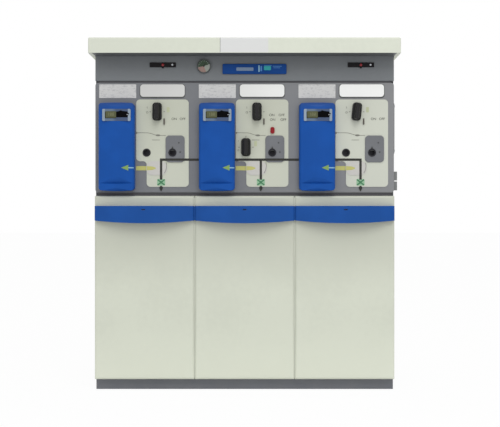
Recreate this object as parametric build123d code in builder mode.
from build123d import *
import os

os.makedirs("parts", exist_ok=True)

# A three-bay gas-insulated ring main unit, in millimetres.
# +Z is up, the fronts face -Y, and the origin is on the floor under the middle of the unit.

# Body: bays side by side, a plinth, and a hood that overhangs it
bay_count = 3
bay_pitch = 385.0
body_depth = 685.0
sheet = 2.5
flange = 20.0
hood_front_overhang = 80.0
hood_overhang = 15.0
hood_height = 59.0
hood_bend = 6.0
body_width = bay_count * bay_pitch
half_width = body_width / 2
hood_depth = hood_front_overhang + body_depth + hood_overhang
hood_width = body_width + 2 * hood_overhang
hood_front_y = -hood_depth / 2
front_y = hood_front_y + hood_front_overhang
rear_y = front_y + body_depth

# Heights, from the floor up
plinth_height = 40.0
cover_gap = 2.0
cover_height = 706.0
panel_gap = 12.0
panel_height = 426.0
groove_height = 6.0
fascia_height = 96.0
cover_bottom = plinth_height + cover_gap
cover_top = cover_bottom + cover_height
panel_bottom = cover_top + panel_gap
panel_top = panel_bottom + panel_height
fascia_bottom = panel_top + groove_height
hood_bottom = fascia_bottom + fascia_height
hood_top = hood_bottom + hood_height
roof_underside = hood_top - sheet

# Folded fronts: they seat on the flanges of the side panels and partitions
panel_fold = 20.0
cover_step = 20.0
seam = 1.2
fold_radius = 4.0
cover_fold_radius = 9.0
lip_setback = 5.0
lip_play = 0.5
panel_corner = 12.0
fascia_tuck = 40.0
seat_y = front_y + panel_fold
cover_y = front_y - cover_step

# Plinth and floor
plinth_inset = 3.0
plinth_setback = 10.0
plinth_flange = 45.0
plinth_wall = 3.0
floor_bolt_radius = 7.0
access_hole_radius = 14.0
gland_edge = 5.0
cables_per_bay = 3
cable_spacing = 105.0
cable_depth_place = 190.0
grommet_hole = 38.0
grommet_lip = 8.0
grommet_height = 62.0
grommet_tip = 14.0

# Gas tank, mechanism housing and cable bushings
mechanism_depth = 127.5
tank_rise = 8.0
tank_roof_gap = 17.0
tank_corner = 30.0
bushing_flange = 46.0
bushing_flange_thickness = 7.5
bushing_setback = 92.0
bushing_radius = 35.0
bushing_tip = 23.0
bushing_length = 150.0
bushing_straight = 50.0

# Play between pieces that slide in, and skins on the front panel
fit_play = 0.2
shaft_play = 0.05
plate_thickness = 2.0
label_thickness = 1.5

# Places on a bay are measured from its left edge, and from the front panel's top or bottom edge
plate_top_margin = 7.0
rating_plate_left = 15.5
rating_plate_width = 143.0
rating_plate_height = 53.0
rating_plate_corner = 2.0
label_plate_left = 174.0
label_plate_width = 172.0
label_plate_height = 48.0
label_plate_corner = 12.0

mimic_left = 158.5
mimic_right_margin = 23.5
mimic_top_margin = 65.5
mimic_bottom_margin = 23.0
mimic_notch_width = 40.5
mimic_notch_height = 99.0
mimic_corner = 15.0

test_cover_left = 17.0
test_cover_width = 138.0
test_cover_top_margin = 80.0
test_cover_bottom_margin = 6.0
test_cover_depth = 46.0
test_cover_crown = 7.0
test_cover_corner = 13.0
test_cover_arch = 4.0
test_cover_edge = 14.0
test_cover_brow = 20.0
test_cover_wall = 3.0
grip_low = 26.0
grip_shelf = 30.0
grip_high = 58.0
grip_depth = 9.0
display_left_margin = 17.0
display_top_margin = 26.5
display_width = 108.0
display_height = 46.0
display_frame = 10.0
display_corner = 4.0
display_depth = 12.0
pane_recess = 1.5
pane_thickness = 5.0

# Turning knobs: centre from the bay's left edge, drop below the panel's top edge, lean in degrees
selector_left = 240.0
selector_drop = 113.0
selector_lean = (0.0, 0.0, 6.0)
earth_knob_bay = 1
earth_knob_left = 197.5
earth_knob_rise = 176.0
knob_width = 37.0
knob_length = 70.0
knob_corner = 13.0
knob_depth = 32.0
knob_base_depth = 13.0
knob_draft = 1.5
knob_edge = 2.0
grip_foot = 25.0
grip_crest = 13.0
grip_length = 64.0
knob_lift = 6.0
knob_running_gap = 0.5
shaft_radius = 5.0
bush_radius = 9.0
bush_collar_radius = 13.0
shank_end_gap = 1.5

# Drive sockets of the operating lever, and the grey interlock blocks
block_left = 272.5
block_width = 73.0
block_height = 103.0
block_rise = 118.0
block_corner = 14.0
block_depth = 4.0
block_edge = 1.5
socket_rise = 155.0
block_socket_left = 299.0
field_socket_left = 199.0
socket_bore = 10.5
socket_sleeve = 13.5
socket_collar = 15.5
socket_collar_height = 2.0
socket_end_wall = 5.0
keyway_width = 9.0
keyway_height = 25.0
keyway_depth = 2.5
pin_hole_radius = 3.0
pin_hole_depth = 2.5
pin_hole_places = ((24.5, 38.0), (29.5, 2.0))

lock_tab_left = 267.0
lock_tab_drop = 151.0
lock_tab_size = (5.0, 24.0)
lock_tab_depth = 5.0
target_left = 300.0
target_rise = 241.0
target_size = (16.0, 25.0)
target_depth = 5.0
end_round = 0.42
window_left = 238.0
window_rise = 95.0
window_size = (81.0, 54.0)
window_corner = 24.0

# Cable covers and their bowed handles
cover_corner = 2.0
handle_top_drop = 39.0
handle_height = 56.0
handle_sag = 10.0
handle_end_depth = 12.0
handle_bow = 30.0
handle_wall = 4.0
handle_end_round = 8.0
latch_slot_drop = 14.0
latch_slot_size = (15.0, 5.0)
handle_side_gap = 1.5

# Instruments on the fascia: centre across the unit, and height above the fascia's lower edge
indicator_places = (-316.0, 449.0)
indicator_rise = 62.0
indicator_size = (101.0, 18.0)
indicator_depth = 4.0
gauge_place = (-157.5, 57.0)
gauge_radius = 27.0
gauge_depth = 8.0
gauge_rim = 3.0
relay_place = (38.0, 46.0)
relay_size = (247.0, 39.0)
relay_corner = 5.0
relay_depth = 7.0

# Right side: blanking plate and the two-tab bracket
side_plate_rise = 153.0
side_plate_size = (200.0, 197.0)
side_plate_depth = 5.0
side_plate_setback = 2.0
bracket_rise = 10.0
bracket_height = 73.0
bracket_tab_gap = 4.0
bracket_reach = 15.0
bracket_leg = 34.0
bracket_thickness = 4.0


def front_plane(y):
    # Local x runs along +X, local y up, and the normal points at the viewer in front
    return Plane.XZ.offset(-y)


def bay_x(bay, place):
    return -half_width + bay * bay_pitch + place


def finish(builder, name):
    builder.part.label = name
    export_step(builder.part, f"parts/{name}.step")


# Plinth: a ring of C-channel, open to the inside, with holes for the floor bolts
plinth_half = half_width - plinth_inset
plinth_front = front_y + plinth_setback
plinth_rear = rear_y - plinth_inset
plinth_width = 2 * plinth_half
plinth_length = plinth_rear - plinth_front
plinth_middle = (plinth_front + plinth_rear) / 2
bolt_spacing_x = plinth_width - plinth_flange
bolt_spacing_y = plinth_length - plinth_flange

with BuildPart() as base_frame:
    with BuildSketch(Plane.XY):
        with Locations((0, plinth_middle)):
            Rectangle(plinth_width, plinth_length)
            Rectangle(plinth_width - 2 * plinth_flange, plinth_length - 2 * plinth_flange,
                      mode=Mode.SUBTRACT)
    extrude(amount=plinth_height)
    with BuildSketch(Plane.XY.offset(plinth_wall)):
        with Locations((0, plinth_middle)):
            Rectangle(plinth_width - 2 * plinth_wall, plinth_length - 2 * plinth_wall)
    extrude(amount=plinth_height - 2 * plinth_wall, mode=Mode.SUBTRACT)
    with Locations(Plane.XY.offset(plinth_wall)):
        with Locations((0, plinth_middle)):
            with GridLocations(bolt_spacing_x, bolt_spacing_y, 2, 2):
                Hole(floor_bolt_radius, plinth_wall)
    with Locations(Plane.XY.offset(plinth_height)):
        with Locations((0, plinth_middle)):
            with GridLocations(bolt_spacing_x, bolt_spacing_y, 2, 2):
                Hole(access_hole_radius, plinth_wall)
finish(base_frame, "base_frame")

# Floor of the cable compartments: one gland plate a bay, with rubber grommets still closed
gland_front = seat_y + gland_edge
gland_rear = rear_y - sheet - gland_edge
grommet_y = front_y + cable_depth_place
gland_places = [(bay_x(bay, bay_pitch / 2), grommet_y) for bay in range(bay_count)]

with BuildPart() as gland_plates:
    with BuildSketch(Plane.XY.offset(plinth_height)):
        with Locations(*[(x, (gland_front + gland_rear) / 2) for x, _ in gland_places]):
            Rectangle(bay_pitch - 2 * gland_edge, gland_rear - gland_front)
        with Locations(*gland_places):
            with GridLocations(cable_spacing, 1, cables_per_bay, 1):
                Circle(grommet_hole, mode=Mode.SUBTRACT)
    extrude(amount=sheet)
finish(gland_plates, "gland_plates")

with BuildPart(mode=Mode.PRIVATE) as grommet:
    with BuildSketch(Plane.XZ):
        with BuildLine():
            Polyline(
                (0, 0),
                (grommet_hole - fit_play, 0),
                (grommet_hole - fit_play, sheet),
                (grommet_hole + grommet_lip, sheet),
                (grommet_hole + grommet_lip, 2 * sheet),
                (grommet_hole - grommet_lip, 3 * sheet),
                (grommet_tip, grommet_height),
                (0, grommet_height),
                close=True,
            )
        make_face()
    revolve(axis=Axis.Z)

with BuildPart() as cable_grommets:
    with Locations(Plane.XY.offset(plinth_height)):
        with Locations(*gland_places):
            with GridLocations(cable_spacing, 1, cables_per_bay, 1):
                add(grommet.part)
finish(cable_grommets, "cable_grommets")

# Side panels: sheets folded into a C in plan, standing on the plinth and carrying the roof
side_depth = rear_y - sheet - seat_y
for side, name in ((-1, "left_side_panel"), (1, "right_side_panel")):
    with BuildPart() as side_panel:
        with BuildSketch(Plane.XY.offset(plinth_height)):
            with Locations((side * (half_width - flange / 2), seat_y + side_depth / 2)):
                Rectangle(flange, side_depth)
            with Locations((side * (half_width - sheet - flange / 2), seat_y + side_depth / 2)):
                Rectangle(flange, side_depth - 2 * sheet, mode=Mode.SUBTRACT)
        extrude(amount=roof_underside - plinth_height)
    finish(side_panel, name)

with BuildPart() as rear_panel:
    with BuildSketch(front_plane(rear_y)):
        with Locations((0, (plinth_height + roof_underside) / 2)):
            Rectangle(body_width, roof_underside - plinth_height)
    extrude(amount=sheet)
finish(rear_panel, "rear_panel")

# Gas tank, and the closed housing of the mechanisms between the tank and the front panel
tank_bottom = panel_bottom + tank_rise
tank_rear = rear_y - 2 * sheet
tank_front = seat_y + sheet + mechanism_depth
tank_depth = tank_rear - tank_front
inner_width = body_width - 2 * sheet

with BuildPart() as gas_tank:
    with BuildSketch(Plane.XY.offset(tank_bottom)):
        with Locations((0, (tank_front + tank_rear) / 2)):
            RectangleRounded(inner_width, tank_depth, tank_corner)
    extrude(amount=roof_underside - tank_roof_gap - tank_bottom)
finish(gas_tank, "gas_tank")

with BuildPart() as mechanism_housing:
    with BuildSketch(front_plane(tank_front)):
        with Locations((0, (tank_bottom + panel_top) / 2)):
            Rectangle(inner_width, panel_top - tank_bottom)
    extrude(amount=mechanism_depth)
finish(mechanism_housing, "mechanism_housing")

# Partitions between the cable compartments: a sheet with a flange that the covers seat on
with BuildPart() as bay_partitions:
    with BuildSketch(Plane.XY.offset(plinth_height + sheet)):
        for bay in range(1, bay_count):
            with Locations((bay_x(bay, 0), (seat_y + rear_y - sheet) / 2)):
                Rectangle(sheet, rear_y - sheet - seat_y)
            with Locations((bay_x(bay, 0), seat_y + sheet / 2)):
                Rectangle(2 * flange, sheet)
    extrude(amount=tank_bottom - plinth_height - sheet)
finish(bay_partitions, "bay_partitions")

# Cable bushings under the tank: stepped cones, revolved
with BuildPart(mode=Mode.PRIVATE) as bushing:
    with BuildSketch(Plane.XZ):
        with BuildLine():
            Polyline(
                (0, 0),
                (bushing_flange, 0),
                (bushing_flange, -bushing_flange_thickness),
                (bushing_radius, -bushing_flange_thickness),
                (bushing_radius, -bushing_straight),
                (bushing_tip, -bushing_length),
                (0, -bushing_length),
                close=True,
            )
        make_face()
    revolve(axis=Axis.Z)

with BuildPart() as cable_bushings:
    with Locations(Plane.XY.offset(tank_bottom)):
        with Locations(*[(x, tank_front + bushing_setback) for x, _ in gland_places]):
            with GridLocations(cable_spacing, 1, cables_per_bay, 1):
                add(bushing.part)
finish(cable_bushings, "cable_bushings")


def folded_front(width, height, centre_x, bottom, face_y, depth, corner, fold, holes=()):
    # A sheet front whose edges are folded back, open to the rear, drilled at (place, radius)
    middle = (centre_x, bottom + height / 2)
    with BuildPart(mode=Mode.PRIVATE) as hollow:
        with BuildSketch(front_plane(face_y + depth)):
            with Locations(middle):
                Rectangle(width - 2 * sheet, height - 2 * sheet)
        extrude(amount=depth - sheet)
        fillet(hollow.faces().sort_by(Axis.Y)[0].edges(), fold - sheet)
    with BuildPart() as pan:
        with BuildSketch(front_plane(face_y + depth)):
            with Locations(middle):
                RectangleRounded(width, height, corner)
        extrude(amount=depth)
        fillet(pan.faces().sort_by(Axis.Y)[0].edges(), fold)
        add(hollow.part, mode=Mode.SUBTRACT)
        for place, radius in holes:
            with BuildSketch(front_plane(face_y + sheet)):
                with Locations(place):
                    Circle(radius)
            extrude(amount=sheet, mode=Mode.SUBTRACT)
    return pan


# Front panel, drilled for the knob bushes and the socket sleeves
knobs = []
for bay in range(bay_count):
    knobs.append((f"selector_knob_{bay + 1}", bay_x(bay, selector_left), panel_top - selector_drop,
                  selector_lean[bay % len(selector_lean)]))
knobs.append((f"earth_knob_{earth_knob_bay + 1}", bay_x(earth_knob_bay, earth_knob_left),
              panel_bottom + earth_knob_rise, 0.0))
knob_places = [(x, z) for _, x, z, _ in knobs]

socket_z = panel_bottom + socket_rise
block_sockets = [(bay_x(bay, block_socket_left), socket_z) for bay in range(bay_count)]
field_sockets = [(bay_x(bay, field_socket_left), socket_z)
                 for bay in range(bay_count) if bay != earth_knob_bay]

panel_holes = [(place, bush_radius + fit_play) for place in knob_places]
panel_holes += [(place, socket_sleeve + fit_play) for place in block_sockets + field_sockets]

# A set-back lip above and below it closes the joints to the fascia and to the cable covers
panel_pan = folded_front(body_width, panel_height, 0, panel_bottom, front_y, panel_fold,
                         panel_corner, fold_radius, panel_holes)
joint_lips = ((cover_top + lip_play, panel_bottom + sheet),
              (panel_top - sheet, fascia_bottom - lip_play))

with BuildPart() as front_panel:
    add(panel_pan.part)
    with BuildSketch(front_plane(front_y + lip_setback + sheet)):
        for low, high in joint_lips:
            with Locations((0, (low + high) / 2)):
                Rectangle(body_width - 2 * panel_corner, high - low)
    extrude(amount=sheet)
finish(front_panel, "front_panel")

upper_fascia = folded_front(body_width, fascia_height + fascia_tuck, 0, fascia_bottom, front_y,
                            panel_fold, cover_corner, fold_radius)
finish(upper_fascia, "upper_fascia")

# Hood: a folded roof with a skirt all round and a soffit that closes it against the body
with BuildPart() as top_hood:
    with BuildSketch(Plane.XY.offset(hood_bottom)):
        Rectangle(hood_width, hood_depth)
    extrude(amount=hood_height)
    fillet(top_hood.faces().sort_by(Axis.Z)[-1].edges() + top_hood.edges().filter_by(Axis.Z),
           hood_bend)
    with BuildSketch(Plane.XY.offset(hood_bottom + sheet)):
        Rectangle(hood_width - 2 * sheet, hood_depth - 2 * sheet)
    extrude(amount=hood_height - 2 * sheet, mode=Mode.SUBTRACT)
    with BuildSketch(Plane.XY.offset(hood_bottom)):
        with Locations((0, (front_y + rear_y) / 2)):
            Rectangle(body_width + 2 * fit_play, body_depth + 2 * fit_play)
    extrude(amount=sheet, mode=Mode.SUBTRACT)
finish(top_hood, "top_hood")

# Mimic plates: a stepped outline with rounded corners, drilled like the panel behind
mimic_face = front_y - plate_thickness
mimic_bottom = panel_bottom + mimic_bottom_margin
mimic_top = panel_top - mimic_top_margin
for bay in range(bay_count):
    left = bay_x(bay, mimic_left)
    right = bay_x(bay, bay_pitch - mimic_right_margin)
    with BuildPart() as mimic_plate:
        with BuildSketch(front_plane(front_y)) as outline:
            with BuildLine():
                Polyline(
                    (left, mimic_top),
                    (left, mimic_bottom + mimic_notch_height),
                    (left + mimic_notch_width, mimic_bottom + mimic_notch_height),
                    (left + mimic_notch_width, mimic_bottom),
                    (right, mimic_bottom),
                    (right, mimic_top),
                    close=True,
                )
            make_face()
            fillet(outline.vertices(), mimic_corner)
            for place, radius in panel_holes:
                with Locations(place):
                    Circle(radius, mode=Mode.SUBTRACT)
        extrude(amount=plate_thickness)
    finish(mimic_plate, f"mimic_plate_{bay + 1}")

# Interlock blocks: grey pads round the right-hand sockets, with a keyway above each bore
with BuildPart() as interlock_blocks:
    with BuildSketch(front_plane(mimic_face)):
        for bay in range(bay_count):
            with Locations((bay_x(bay, block_left) + block_width / 2,
                            panel_bottom + block_rise + block_height / 2)):
                RectangleRounded(block_width, block_height, block_corner)
    extrude(amount=block_depth)
    fillet(interlock_blocks.faces().filter_by(Axis.Y).group_by(Axis.Y)[0].edges(), block_edge)
    with BuildSketch(front_plane(mimic_face)):
        with Locations(*block_sockets):
            Circle(socket_sleeve + fit_play)
    extrude(amount=block_depth, mode=Mode.SUBTRACT)
    with BuildSketch(front_plane(mimic_face - block_depth)):
        for x, z in block_sockets:
            with BuildLine():
                Polyline(
                    (x - keyway_width, z + socket_sleeve / 2),
                    (x + keyway_width, z + socket_sleeve / 2),
                    (x, z + keyway_height),
                    close=True,
                )
            make_face()
    extrude(amount=-keyway_depth, mode=Mode.SUBTRACT)
    with BuildSketch(front_plane(mimic_face - block_depth)):
        for x, z in block_sockets:
            with Locations(*[(x + dx, z + dz) for dx, dz in pin_hole_places]):
                Circle(pin_hole_radius)
    extrude(amount=-pin_hole_depth, mode=Mode.SUBTRACT)
finish(interlock_blocks, "interlock_blocks")

# Sleeves of the drive sockets, blind at the back, each on its collar
sleeve_end = seat_y + shank_end_gap
bore_end = sleeve_end - socket_end_wall

with BuildPart() as drive_sockets:
    for places, face_y in ((block_sockets, mimic_face - block_depth), (field_sockets, mimic_face)):
        with BuildSketch(front_plane(sleeve_end)):
            with Locations(*places):
                Circle(socket_sleeve)
        extrude(amount=sleeve_end - face_y)
        with BuildSketch(front_plane(face_y)):
            with Locations(*places):
                Circle(socket_collar)
        extrude(amount=socket_collar_height)
        with BuildSketch(front_plane(bore_end)):
            with Locations(*places):
                Circle(socket_bore)
        extrude(amount=bore_end - face_y + socket_collar_height, mode=Mode.SUBTRACT)
finish(drive_sockets, "drive_sockets")

# Knob bushes: a collar on the mimic plate and a shank through the front panel
knob_back = mimic_face - knob_lift
with BuildPart() as knob_bushes:
    with BuildSketch(front_plane(sleeve_end)):
        with Locations(*knob_places):
            Circle(bush_radius)
    extrude(amount=sleeve_end - mimic_face)
    with BuildSketch(front_plane(mimic_face)):
        with Locations(*knob_places):
            Circle(bush_collar_radius)
    extrude(amount=knob_lift - knob_running_gap)
    with BuildSketch(front_plane(sleeve_end)):
        with Locations(*knob_places):
            Circle(shaft_radius + shaft_play)
    extrude(amount=sleeve_end - knob_back, mode=Mode.SUBTRACT)
finish(knob_bushes, "knob_bushes")

# Turning knobs: a drafted base and a tapering grip, each on a shaft in its bush
grip_back = knob_back - knob_base_depth
knob_layers = (
    (knob_back, knob_width, knob_length, knob_corner),
    (grip_back, knob_width - 2 * knob_draft, knob_length - 2 * knob_draft, knob_corner - knob_draft),
    (grip_back, grip_foot, grip_length, grip_foot / 2 - knob_edge),
    (knob_back - knob_depth, grip_crest, grip_length - 2 * knob_draft, grip_crest / 2 - knob_edge),
)
for name, x, z, lean in knobs:
    with BuildPart() as knob:
        for lower, upper in ((0, 1), (2, 3)):
            for layer_y, layer_width, layer_length, layer_corner in knob_layers[lower:upper + 1]:
                with BuildSketch(front_plane(layer_y)):
                    with Locations(Location((x, z), -lean)):
                        RectangleRounded(layer_width, layer_length, layer_corner)
            loft()
            fillet(knob.faces().sort_by(Axis.Y)[0].edges(), knob_edge)
        with BuildSketch(front_plane(sleeve_end)):
            with Locations((x, z)):
                Circle(shaft_radius)
        extrude(amount=sleeve_end - knob_back)
    finish(knob, name)


# Test covers: a moulded shell, crowned across, whose face ramps in to a finger groove above its lip
def test_cover_form(bay, inset):
    left = bay_x(bay, test_cover_left) + inset
    right = bay_x(bay, test_cover_left + test_cover_width) - inset
    bottom = panel_bottom + test_cover_bottom_margin + inset
    top = panel_top - test_cover_top_margin - inset
    face = front_y - test_cover_depth + inset
    shoulder = face + test_cover_crown
    edge = test_cover_edge - inset
    brow = test_cover_brow - inset
    ramp_top = bottom + grip_high - inset
    shelf = bottom + grip_shelf - 2 * inset
    lip = bottom + grip_low - 2 * inset
    slant = 1 - 0.5 ** 0.5  # how far in a quarter arc's middle lies, as a share of its radius
    with BuildPart(mode=Mode.PRIVATE) as form:
        with BuildSketch(front_plane(front_y)) as outline:
            with BuildLine():
                Line((left, bottom + test_cover_arch), (left, top - test_cover_arch))
                ThreePointArc((left, top - test_cover_arch), ((left + right) / 2, top),
                              (right, top - test_cover_arch))
                Line((right, top - test_cover_arch), (right, bottom + test_cover_arch))
                ThreePointArc((right, bottom + test_cover_arch), ((left + right) / 2, bottom),
                              (left, bottom + test_cover_arch))
            make_face()
            fillet(outline.vertices(), test_cover_corner - inset)
        extrude(amount=test_cover_depth)
        with BuildSketch(Plane.YZ.offset(left)):
            with BuildLine():
                Polyline((face + edge, bottom), (front_y, bottom), (front_y, top),
                         (face + brow, top))
                ThreePointArc((face + brow, top),
                              (face + slant * brow, top - slant * brow),
                              (face, top - brow))
                Line((face, top - brow), (face, ramp_top))
                TangentArc((face, ramp_top), (face + grip_depth, shelf), tangent=(0, -1))
                Line((face + grip_depth, shelf), (face, lip))
                Line((face, lip), (face, bottom + edge))
                ThreePointArc((face, bottom + edge),
                              (face + slant * edge, bottom + slant * edge),
                              (face + edge, bottom))
            make_face()
        extrude(amount=right - left, mode=Mode.INTERSECT)
        with BuildSketch(Plane.XY.offset(bottom)):
            with BuildLine():
                Polyline((left, shoulder + edge), (left, front_y), (right, front_y),
                         (right, shoulder + edge))
                ThreePointArc((right, shoulder + edge),
                              (right - slant * edge, shoulder + slant * edge),
                              (right - edge, shoulder))
                ThreePointArc((right - edge, shoulder), ((left + right) / 2, face),
                              (left + edge, shoulder))
                ThreePointArc((left + edge, shoulder),
                              (left + slant * edge, shoulder + slant * edge),
                              (left, shoulder + edge))
            make_face()
        extrude(amount=top - bottom, mode=Mode.INTERSECT)
    return form.part


test_cover_top = panel_top - test_cover_top_margin
display_z = test_cover_top - display_top_margin - display_height / 2
display_places = [(bay_x(bay, test_cover_left + display_left_margin) + display_width / 2, display_z)
                  for bay in range(bay_count)]
display_back = front_y - test_cover_depth + display_depth

for bay in range(bay_count):
    outer = test_cover_form(bay, 0)
    inner = test_cover_form(bay, test_cover_wall)
    with BuildPart() as test_cover:
        add(outer)
        add(inner, mode=Mode.SUBTRACT)
        with BuildSketch(front_plane(front_y)):
            with Locations(display_places[bay]):
                RectangleRounded(display_width + 2 * fit_play, display_height + 2 * fit_play,
                                 display_corner)
        extrude(amount=test_cover_depth, mode=Mode.SUBTRACT)
    finish(test_cover, f"test_cover_{bay + 1}")

with BuildPart() as display_bezels:
    with BuildSketch(front_plane(display_back)):
        with Locations(*display_places):
            RectangleRounded(display_width, display_height, display_corner)
    extrude(amount=display_depth)
    with BuildSketch(front_plane(display_back - display_depth)):
        with Locations(*display_places):
            Rectangle(display_width - 2 * display_frame, display_height - 2 * display_frame)
    extrude(amount=-pane_recess - pane_thickness, mode=Mode.SUBTRACT)
finish(display_bezels, "display_bezels")

with BuildPart() as display_panes:
    with BuildSketch(front_plane(display_back - display_depth + pane_recess)):
        with Locations(*display_places):
            Rectangle(display_width - 2 * display_frame - 2 * fit_play,
                      display_height - 2 * display_frame - 2 * fit_play)
    extrude(amount=-pane_thickness)
finish(display_panes, "display_panes")


# Plates, windows and tabs: like pieces of all bays share a node
def bay_pieces(face_y, depth, size, corner, place, bays=range(bay_count)):
    with BuildPart() as pieces:
        with BuildSketch(front_plane(face_y)):
            with Locations(*[(bay_x(bay, place[0]), place[1]) for bay in bays]):
                RectangleRounded(size[0], size[1], corner)
        extrude(amount=depth)
    return pieces


plate_top = panel_top - plate_top_margin
rating_plates = bay_pieces(front_y, label_thickness, (rating_plate_width, rating_plate_height),
                           rating_plate_corner, (rating_plate_left + rating_plate_width / 2,
                                                 plate_top - rating_plate_height / 2))
finish(rating_plates, "rating_plates")

circuit_label_plates = bay_pieces(front_y, label_thickness, (label_plate_width, label_plate_height),
                                  label_plate_corner,
                                  (label_plate_left + label_plate_width / 2,
                                   plate_top - label_plate_height / 2))
finish(circuit_label_plates, "circuit_label_plates")

position_windows = bay_pieces(mimic_face, label_thickness, window_size, window_corner,
                              (window_left, panel_bottom + window_rise))
finish(position_windows, "position_windows")

lock_tabs = bay_pieces(mimic_face, lock_tab_depth, lock_tab_size, lock_tab_size[0] * end_round,
                       (lock_tab_left, panel_top - lock_tab_drop))
finish(lock_tabs, "lock_tabs")

trip_target = bay_pieces(mimic_face, target_depth, target_size, target_size[0] * end_round,
                         (target_left, panel_bottom + target_rise), [earth_knob_bay])
finish(trip_target, "trip_target")

# Cable covers, and bowed handles whose hollow is open below for the fingers
cover_width = bay_pitch - seam
handle_width = cover_width - 2 * handle_side_gap
handle_top = cover_top - handle_top_drop
handle_low = handle_top - handle_height
handle_lowest = handle_low - handle_sag


def bowed_plan(centre, inset):
    # Plan of a handle: a straight back on the cover, short ends and a bowed front
    half = handle_width / 2 - inset
    ends = cover_y - handle_end_depth + inset
    crown = cover_y - handle_end_depth - handle_bow + inset
    with BuildSketch(Plane.XY.offset(handle_lowest), mode=Mode.PRIVATE) as plan:
        with BuildLine():
            Polyline((centre - half, ends), (centre - half, cover_y), (centre + half, cover_y),
                     (centre + half, ends))
            ThreePointArc((centre + half, ends), (centre, crown), (centre - half, ends))
        make_face()
        fillet(plan.vertices().group_by(Axis.Y)[0], handle_end_round - inset)
    return plan.sketch


for bay in range(bay_count):
    centre = bay_x(bay, bay_pitch / 2)
    cable_cover = folded_front(cover_width, cover_height, centre, cover_bottom, cover_y,
                               seat_y - cover_y, cover_corner, cover_fold_radius)
    finish(cable_cover, f"cable_cover_{bay + 1}")

    with BuildPart() as cover_handle:
        extrude(bowed_plan(centre, 0), amount=handle_top - handle_lowest)
        with BuildSketch(front_plane(cover_y)):
            with BuildLine():
                Polyline((centre - handle_width / 2, handle_low),
                         (centre - handle_width / 2, handle_top),
                         (centre + handle_width / 2, handle_top),
                         (centre + handle_width / 2, handle_low))
                ThreePointArc((centre + handle_width / 2, handle_low), (centre, handle_lowest),
                              (centre - handle_width / 2, handle_low))
            make_face()
        extrude(amount=handle_end_depth + handle_bow, mode=Mode.INTERSECT)
        extrude(bowed_plan(centre, handle_wall), amount=handle_top - handle_wall - handle_lowest,
                mode=Mode.SUBTRACT)
        with BuildSketch(front_plane(cover_y - handle_end_depth)):
            with Locations((centre, handle_top - latch_slot_drop)):
                SlotOverall(*latch_slot_size)
        extrude(amount=handle_bow, mode=Mode.SUBTRACT)
    finish(cover_handle, f"cover_handle_{bay + 1}")

# Instruments on the fascia
with BuildPart() as voltage_indicators:
    with BuildSketch(front_plane(front_y)):
        with Locations(*[(x, fascia_bottom + indicator_rise) for x in indicator_places]):
            RectangleRounded(indicator_size[0], indicator_size[1], label_thickness)
    extrude(amount=indicator_depth)
finish(voltage_indicators, "voltage_indicators")

with BuildPart() as gas_gauge:
    with BuildSketch(front_plane(front_y)):
        with Locations((gauge_place[0], fascia_bottom + gauge_place[1])):
            Circle(gauge_radius)
    extrude(amount=gauge_depth)
    with BuildSketch(front_plane(front_y - gauge_depth)):
        with Locations((gauge_place[0], fascia_bottom + gauge_place[1])):
            Circle(gauge_radius - gauge_rim)
    extrude(amount=-gauge_rim, mode=Mode.SUBTRACT)
finish(gas_gauge, "gas_gauge")

with BuildPart() as relay_panel:
    with BuildSketch(front_plane(front_y)):
        with Locations((relay_place[0], fascia_bottom + relay_place[1])):
            RectangleRounded(relay_size[0], relay_size[1], relay_corner)
    extrude(amount=relay_depth)
    chamfer(relay_panel.faces().sort_by(Axis.Y)[0].edges(), label_thickness)
finish(relay_panel, "relay_panel")

# Right side: a blanking plate, and a bracket bent out into two tabs
side_plate_front = seat_y + side_plate_setback
with BuildPart() as side_cover_plate:
    with BuildSketch(Plane.YZ.offset(half_width)):
        with Locations((side_plate_front + side_plate_size[0] / 2,
                        panel_bottom + side_plate_rise + side_plate_size[1] / 2)):
            RectangleRounded(side_plate_size[0], side_plate_size[1], label_plate_corner)
    extrude(amount=side_plate_depth)
finish(side_cover_plate, "side_cover_plate")

bracket_bottom = panel_bottom + bracket_rise
with BuildPart() as side_bracket:
    with BuildSketch(Plane.XY.offset(bracket_bottom)):
        with BuildLine():
            Polyline(
                (half_width, side_plate_front),
                (half_width + bracket_reach, side_plate_front),
                (half_width + bracket_reach, side_plate_front + bracket_thickness),
                (half_width + bracket_thickness, side_plate_front + bracket_thickness),
                (half_width + bracket_thickness, side_plate_front + bracket_leg),
                (half_width, side_plate_front + bracket_leg),
                close=True,
            )
        make_face()
    extrude(amount=bracket_height)
    with BuildSketch(front_plane(side_plate_front)):
        with Locations((half_width + bracket_thickness + bracket_reach / 2,
                        bracket_bottom + bracket_height / 2)):
            Rectangle(bracket_reach, bracket_tab_gap)
    extrude(amount=-bracket_thickness, mode=Mode.SUBTRACT)
finish(side_bracket, "side_bracket")
